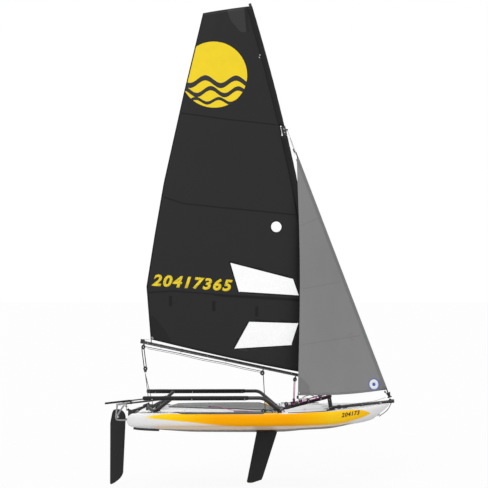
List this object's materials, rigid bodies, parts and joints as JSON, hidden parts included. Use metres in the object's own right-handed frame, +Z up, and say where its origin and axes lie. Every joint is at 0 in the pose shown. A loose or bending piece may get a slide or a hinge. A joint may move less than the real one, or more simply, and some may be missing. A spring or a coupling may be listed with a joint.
{
  "type": "inflatable sailing dinghy",
  "caption": "Small sailing dinghy with an inflatable hull, black tube frame with side racks, bowsprit, curved mast with mainsail, jib, daggerboard and kick-up rudder.",
  "frame": {"origin": "on the design waterline, amidships, on the centreline", "axes": "+X to the bow, +Y to port, +Z up"},
  "size_m": [3.7511, 1.65, 6.2483],
  "materials": {
    "hull_skin": "coated fabric, white with an orange side band",
    "deck_foam": "brushed closed-cell foam",
    "frame_black": "black anodised aluminium tube",
    "fitting_black": "moulded black plastic",
    "rack_foam": "soft black foam sleeve",
    "stay_wire": "stranded stainless wire",
    "main_cloth": "black laminated sailcloth",
    "window_film": "clear film",
    "jib_cloth": "grey woven sailcloth",
    "blade_black": "black composite blade",
    "head_silver": "satin aluminium"
  },
  "bodies": {
    "hull": {"hull_floor": "hull_skin", "hull_side_port": "hull_skin", "hull_side_starboard": "hull_skin", "deck_pad_port": "deck_foam", "deck_pad_starboard": "deck_foam", "front_crossbeam": "frame_black", "rear_crossbeam": "frame_black", "front_hub": "fitting_black", "rear_hub": "fitting_black", "front_feet": "fitting_black", "rear_feet": "fitting_black", "rack_port": "frame_black", "rack_starboard": "frame_black", "rack_pad_port": "rack_foam", "rack_pad_starboard": "rack_foam", "rear_leg_port": "frame_black", "rear_leg_starboard": "frame_black", "mast_step": "frame_black", "strut": "frame_black", "bowsprit": "frame_black", "bowsprit_collar": "fitting_black", "bow_saddle": "fitting_black", "bowsprit_end": "fitting_black", "forestay": "stay_wire", "board_flange": "fitting_black", "stern_spar": "frame_black", "rudder_bracket": "fitting_black"},
    "rig": {"mast_lower": "frame_black", "mast_upper": "frame_black", "hounds_bracket": "fitting_black", "gooseneck": "fitting_black", "boom": "frame_black", "boom_end": "fitting_black", "mainsail": "main_cloth", "sail_windows": "window_film"},
    "jib": {"luff_foil": "fitting_black", "furler_drum": "fitting_black", "jib": "jib_cloth"},
    "daggerboard": {"daggerboard": "blade_black", "board_handle": "fitting_black"},
    "rudder": {"rudder_head": "head_silver", "tiller": "frame_black", "extension_joint": "fitting_black"},
    "rudder_blade": {"rudder_blade": "blade_black"},
    "tiller_extension": {"tiller_extension": "frame_black"}
  },
  "joints": [
    {"name": "rig_turn", "type": "hinge", "parent": "hull", "child": "rig", "pos_m": [0.905, 0, 0.392], "axis": [-0.1546, 0, 0.988], "range_deg": [-80, 20]},
    {"name": "jib_swing", "type": "hinge", "parent": "hull", "child": "jib", "pos_m": [0.377, 0, 3.819], "axis": [-0.3567, 0, 0.9342], "range_deg": [0, 55]},
    {"name": "daggerboard_lift", "type": "slide", "parent": "hull", "child": "daggerboard", "axis": [0.0872, 0, 0.9962], "range_m": [0, 0.38]},
    {"name": "rudder_turn", "type": "hinge", "parent": "hull", "child": "rudder", "pos_m": [-1.703, 0, 0.1], "axis": [0, 0, 1], "range_deg": [-40, 40]},
    {"name": "rudder_blade_lift", "type": "hinge", "parent": "rudder", "child": "rudder_blade", "pos_m": [-1.822, 0, 0.112], "axis": [0, 1, 0], "range_deg": [0, 85]},
    {"name": "tiller_extension_swing", "type": "hinge", "parent": "rudder", "child": "tiller_extension", "pos_m": [-1.21173, 0, 0.37164], "axis": [-0.0899, 0.6, 0.7949], "range_deg": [0, 120]}
  ]
}
